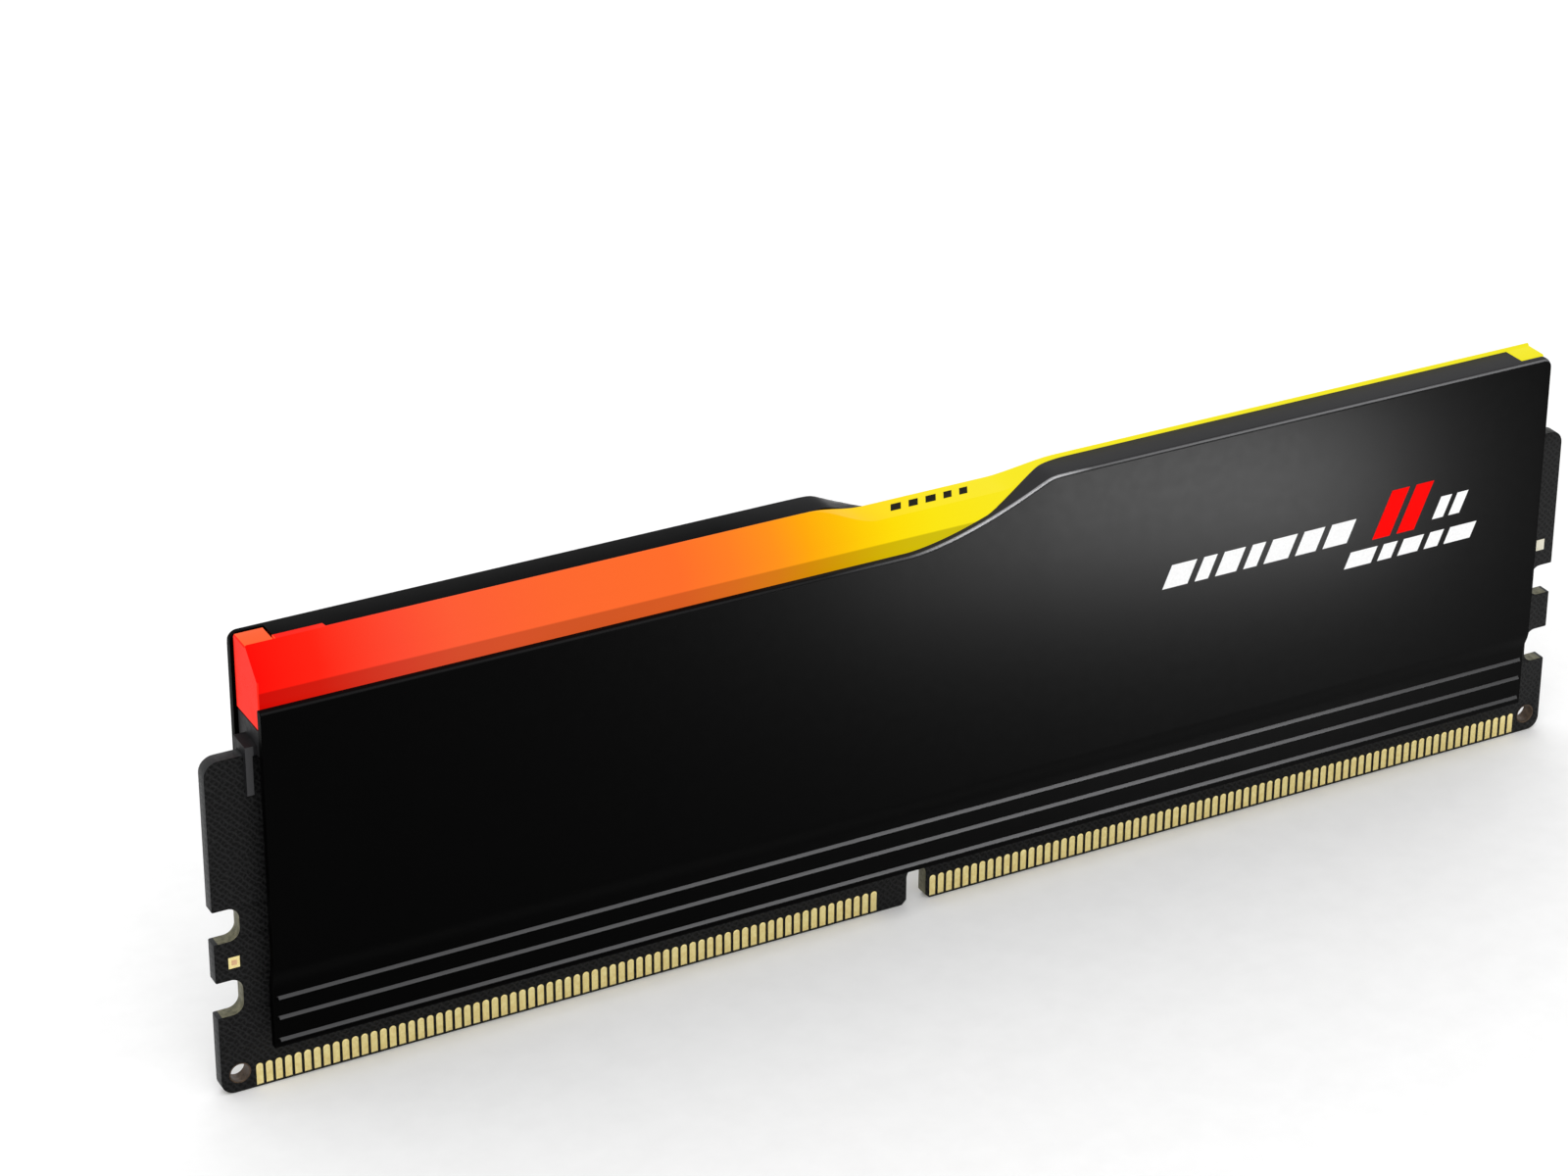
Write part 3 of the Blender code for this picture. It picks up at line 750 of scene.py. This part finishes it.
printShape = {
    "lean": 0.42,
    "rise": 0.022,
    "upperRow": {"left": 21.6, "low": 26.75, "height": 2.2, "widths": (2.6, 1.4, 2.2, 1.4, 2.6, 2.2, 2.6),
                 "gap": 0.75},
    "tallPair": {"left": 43.9, "low": 26.4, "height": 4.5, "widths": (1.9, 1.9), "gap": 0.75},
    "endPair": {"left": 50.4, "low": 26.95, "height": 2.1, "widths": (1.2, 1.2), "gap": 0.6},
    "lowerRow": {"left": 41.0, "low": 24.1, "height": 1.55, "widths": (2.9, 1.5, 2.2, 1.5, 2.9), "gap": 0.7},
}


def makePrint(name, rows, finish):
    bm = bmesh.new()
    face = spreaderShape["frontFace"] - spreaderShape["printRoom"]
    for word in rows:
        row = printShape[word]
        left = row["left"]
        for width in row["widths"]:
            bar = slantedBar(left, row["low"], width, row["height"], printShape["lean"])
            addPlate(bm, bar, face - 0.01, face + printShape["rise"], 0.008)
            left += width + row["gap"]
    finishPiece(name, bm, finish)


makePrint("whiteSlantedBars", ("upperRow", "endPair", "lowerRow"), whitePrint)
makePrint("redSlantedBars", ("tallPair",), redPrint)
print("spreaders made")


# light bar and its holder

barShape = {
    "halfLength": 62.4,
    "setIn": 0.95,
    "bottom": 33.9,
    "ridge": 40.65,
    "ridgeHalf": 0.06,
    "middleTop": 39.2,
    "dipFlat": 6.0,
    "dipEnd": 12.0,
    "blockStart": 59.9,
    "foldGap": 0.25,
    "lip": 0.03,
    "endBreak": 0.10,
}


def barTop(x):
    shape = barShape
    share = softStep((abs(x) - shape["dipFlat"]) / (shape["dipEnd"] - shape["dipFlat"]))
    return shape["middleTop"] + (shape["ridge"] - shape["middleTop"]) * share


def halfBar(x, face, trim):
    shape = barShape
    out = face - shape["setIn"] - trim
    top = barTop(x) - trim
    bottom = shape["bottom"] + trim
    crest = shape["ridgeHalf"] + (shape["ridge"] - trim - top)
    nick = 0.10
    if x >= shape["blockStart"]:
        high = spreaderShape["highTop"] - trim
        inward = [(out, high - nick), (out - nick * 0.3, high - nick * 0.3), (out - nick, high)]
        return [(out, bottom)] + inward + [(crest + 0.4, high), (crest + 0.2, high), (crest, high)]
    lip = shape["lip"]
    edge = foldEdge(min(x, spreaderShape["foldEnd"] - 0.1), face) - 0.12
    edge = min(edge, out - 2 * nick)
    slope = shape["ridge"] - trim + shape["ridgeHalf"] - edge
    kink = shape["ridge"] - trim + shape["ridgeHalf"] - out
    room = spreaderTop(x) - spreaderShape["foldSheet"] - shape["foldGap"]
    if edge < out - 2 * nick - 1e-6:
        low = min(room, kink - 0.6 * nick)
        front = [(out, low - nick), (out - nick * 0.3, low - nick * 0.3), (edge + lip, low)]
    else:
        front = [(out, kink - 0.7 * nick), (out - nick * 0.12, kink - nick * 0.1),
                 (edge + nick, slope - nick)]
    step = min(max(slope, front[-1][1] + lip), top)
    crest = edge - lip if x > spreaderShape["foldStep"] else min(crest, edge - lip)
    shoulder = min(top - 0.10, step) if step < top else top
    ridge = [(crest + 0.10, shoulder), (crest + 0.03, top - 0.03), (crest, top)]
    if crest + 0.10 > edge:
        ridge = [(crest + 0.02, top), (crest + 0.01, top), (crest, top)]
    return [(out, bottom)] + front[:2] + [front[2], (edge, step)] + ridge[1:]


def barRing(x, trim=0.0):
    front = [(x, -out, up) for out, up in halfBar(x, spreaderShape["frontFace"], trim)]
    back = [(x, out, up) for out, up in halfBar(-x, spreaderShape["rearFace"], trim)]
    return front + back[::-1]


def makeLightBar():
    shape = barShape
    end, nick = shape["halfLength"], shape["endBreak"]
    outer = [15 + 3 * step for step in range(14)]
    outer += [spreaderShape["foldStep"] - 0.05, spreaderShape["foldStep"] + 0.05]
    outer += [shape["blockStart"] - 0.05, shape["blockStart"], end - nick]
    stations = [-x for x in reversed(outer)] + [0.25 * step for step in range(-58, 59)] + outer
    bm = bmesh.new()
    rings = [barRing(-end, nick)] + [barRing(x) for x in stations] + [barRing(end, nick)]
    addLoft(bm, rings)
    return finishPiece("glowBar", bm, litDiffuser, ["light_bar"], smooth=24)


barMarks = {"left": -4.3, "widths": (1.0, 0.9, 1.0, 0.8, 0.8), "gap": 0.75, "near": -0.45, "depth": 1.1,
            "lean": 0.55}


def makeBarMarks():
    marks = barMarks
    bm = bmesh.new()
    left = marks["left"]
    top = barShape["middleTop"]
    for width in marks["widths"]:
        outline = slantedBar(left, marks["near"], width, marks["depth"], marks["lean"])
        addLoft(bm, [[(x, y, top - 0.01) for x, y in outline], [(x, y, top + 0.012) for x, y in outline]])
        left += width + marks["gap"]
    finishPiece("barPrintMarks", bm, barPrint)


makeLightBar()
makeBarMarks()
print("light bar made")


# rear label

labelShape = {"half": 24.0, "low": 15.0, "high": 31.0, "corner": 1.0, "thickness": 0.09, "frame": 0.8}


def roundedBox(left, low, right, high, radius, steps=6):
    points = arcPoints((right - radius, low + radius), radius, -90, 0, steps)
    points += arcPoints((right - radius, high - radius), radius, 0, 90, steps)
    points += arcPoints((left + radius, high - radius), radius, 90, 180, steps)
    points += arcPoints((left + radius, low + radius), radius, 180, 270, steps)
    return points


def makeLabel():
    shape = labelShape
    face = spreaderShape["rearFace"]
    half, low, high = shape["half"], shape["low"], shape["high"]
    bm = bmesh.new()
    outline = roundedBox(-half, low, half, high, shape["corner"])
    addPlate(bm, outline, face, face + shape["thickness"], 0.02, 1)
    finishPiece("rearLabel", bm, labelPaper, ["rear_label"])
    bm = bmesh.new()
    top = face + shape["thickness"]
    inset = shape["frame"]
    blocks = [(-half + inset, high - 3.4, half - inset, high - inset),
              (-half + inset, low + inset, -half + 9, low + 9),
              (-half + 10.5, low + 6.6, 4, low + 7.4), (-half + 10.5, low + 4.4, 8, low + 5.2),
              (-half + 10.5, low + 2.2, 0, low + 3.0)]
    for left, bottom, right, upper in blocks:
        addPlate(bm, roundedBox(left, bottom, right, upper, 0.3, 3), top - 0.01, top + 0.008, 0.0, 1)
    finishPiece("rearLabelPrint", bm, labelInk)


makeLabel()


# parts that keep their own solid

carriedFinishes = {
    "memory_chip": mouldedChip,
    "power_chip": mouldedChip,
    "hub_chip": mouldedChip,
    "light_driver_chip": mouldedChip,
    "power_coil": ferriteGrey,
    "bulk_capacitor": firedCeramic,
    "led_": lampResin,
    "thermal_pad": softPad,
    "light_bar_holder": blackPlastic,
}

for nodeName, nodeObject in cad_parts.items():
    for start, finish in carriedFinishes.items():
        if nodeName.startswith(start):
            nodeObject.data.materials.clear()
            nodeObject.data.materials.append(finish)
print("carried parts finished")


# floor, lights and camera

stageLook = {
    "floorSize": 6.0,
    "floorColour": (0.93, 0.93, 0.93),
    "floorPaler": (0.96, 0.96, 0.96),
    "worldStrength": 0.95,
}


def makeStage():
    look = stageLook
    half = look["floorSize"] / 2
    mesh = bpy.data.meshes.new("floor")
    corners = [(-half, -half, 0), (half, -half, 0), (half, half, 0), (-half, half, 0)]
    mesh.from_pydata(corners, [], [(0, 1, 2, 3)])
    floor = bpy.data.objects.new("floor", mesh)
    floor.location.z = -0.05 * mm
    scene.collection.objects.link(floor)
    finish = makeSpeckled("paleFloor", look["floorColour"], look["floorPaler"], (0.85, 0.95), 0.1, scale=300,
                          bump=0.02)
    mesh.materials.append(finish)
    world = bpy.data.worlds.new("studio")
    scene.world = world
    world.use_nodes = True
    sky = world.node_tree.nodes["Background"]
    sky.inputs["Color"].default_value = (1, 1, 1, 1)
    sky.inputs["Strength"].default_value = look["worldStrength"]


lightPlan = {  # place and aim in millimetres, size in millimetres, brightness as light per area
    "overheadSoftbox": {"place": (-350, -500, 900), "aim": (0, 0, 15), "size": (900, 900), "bright": 1.3},
    "rearSoftbox": {"place": (500, 700, 600), "aim": (0, 0, 20), "size": (700, 500), "bright": 0.8},
    "faceCard": {"place": (48, -50, 16), "aim": (20, -3, 40), "size": (46, 18), "bright": 135,
                 "only": "spreaders"},
    "rearCard": {"place": (48, 50, 16), "aim": (20, 3, 40), "size": (46, 18), "bright": 60,
                 "only": "spreaders"},
    "edgeStrip": {"place": (230, -230, 440), "aim": (0, 0, 30), "size": (420, 160), "bright": 6,
                  "only": "spreaders"},
}


def makeLights():
    spreaders = bpy.data.collections.new("spreaders")
    for piece in (frontSpreader, rearSpreader):
        spreaders.objects.link(piece)
    for name, plan in lightPlan.items():
        width, height = (side * mm for side in plan["size"])
        lamp = bpy.data.lights.new(name, "AREA")
        lamp.shape = "RECTANGLE"
        lamp.size = width
        lamp.size_y = height
        lamp.energy = plan["bright"] * math.pi * width * height
        light = bpy.data.objects.new(name, lamp)
        scene.collection.objects.link(light)
        light.location = Vector(plan["place"]) * mm
        aim = Vector(plan["aim"]) * mm - light.location
        light.rotation_euler = aim.to_track_quat("-Z", "Y").to_euler()
        light.visible_camera = False
        if plan.get("only"):
            light.light_linking.receiver_collection = spreaders


cameraPlan = {
    "place": (-168.79, -289.28, 205.05),
    "right": (0.8828, -0.4696, 0.0034),
    "forward": (0.4270, 0.7996, -0.4222),
    "lens": 100.92,
    "shiftY": -0.12525,
}


def makeCamera():
    plan = cameraPlan
    right = Vector(plan["right"]).normalized()
    back = -Vector(plan["forward"]).normalized()
    up = back.cross(right).normalized()
    right = up.cross(back)
    turn = Matrix((right, up, back)).transposed().to_4x4()
    data = bpy.data.cameras.new("productView")
    data.lens = plan["lens"]
    data.sensor_width = 36.0
    data.shift_y = plan["shiftY"]
    data.clip_start = 0.005
    data.clip_end = 20.0
    camera = bpy.data.objects.new("productView", data)
    camera.matrix_world = Matrix.Translation(Vector(plan["place"]) * mm) @ turn
    scene.collection.objects.link(camera)
    scene.camera = camera


makeStage()
makeLights()
makeCamera()
scene.view_settings.view_transform = "Standard"
print("stage, lights and camera made")
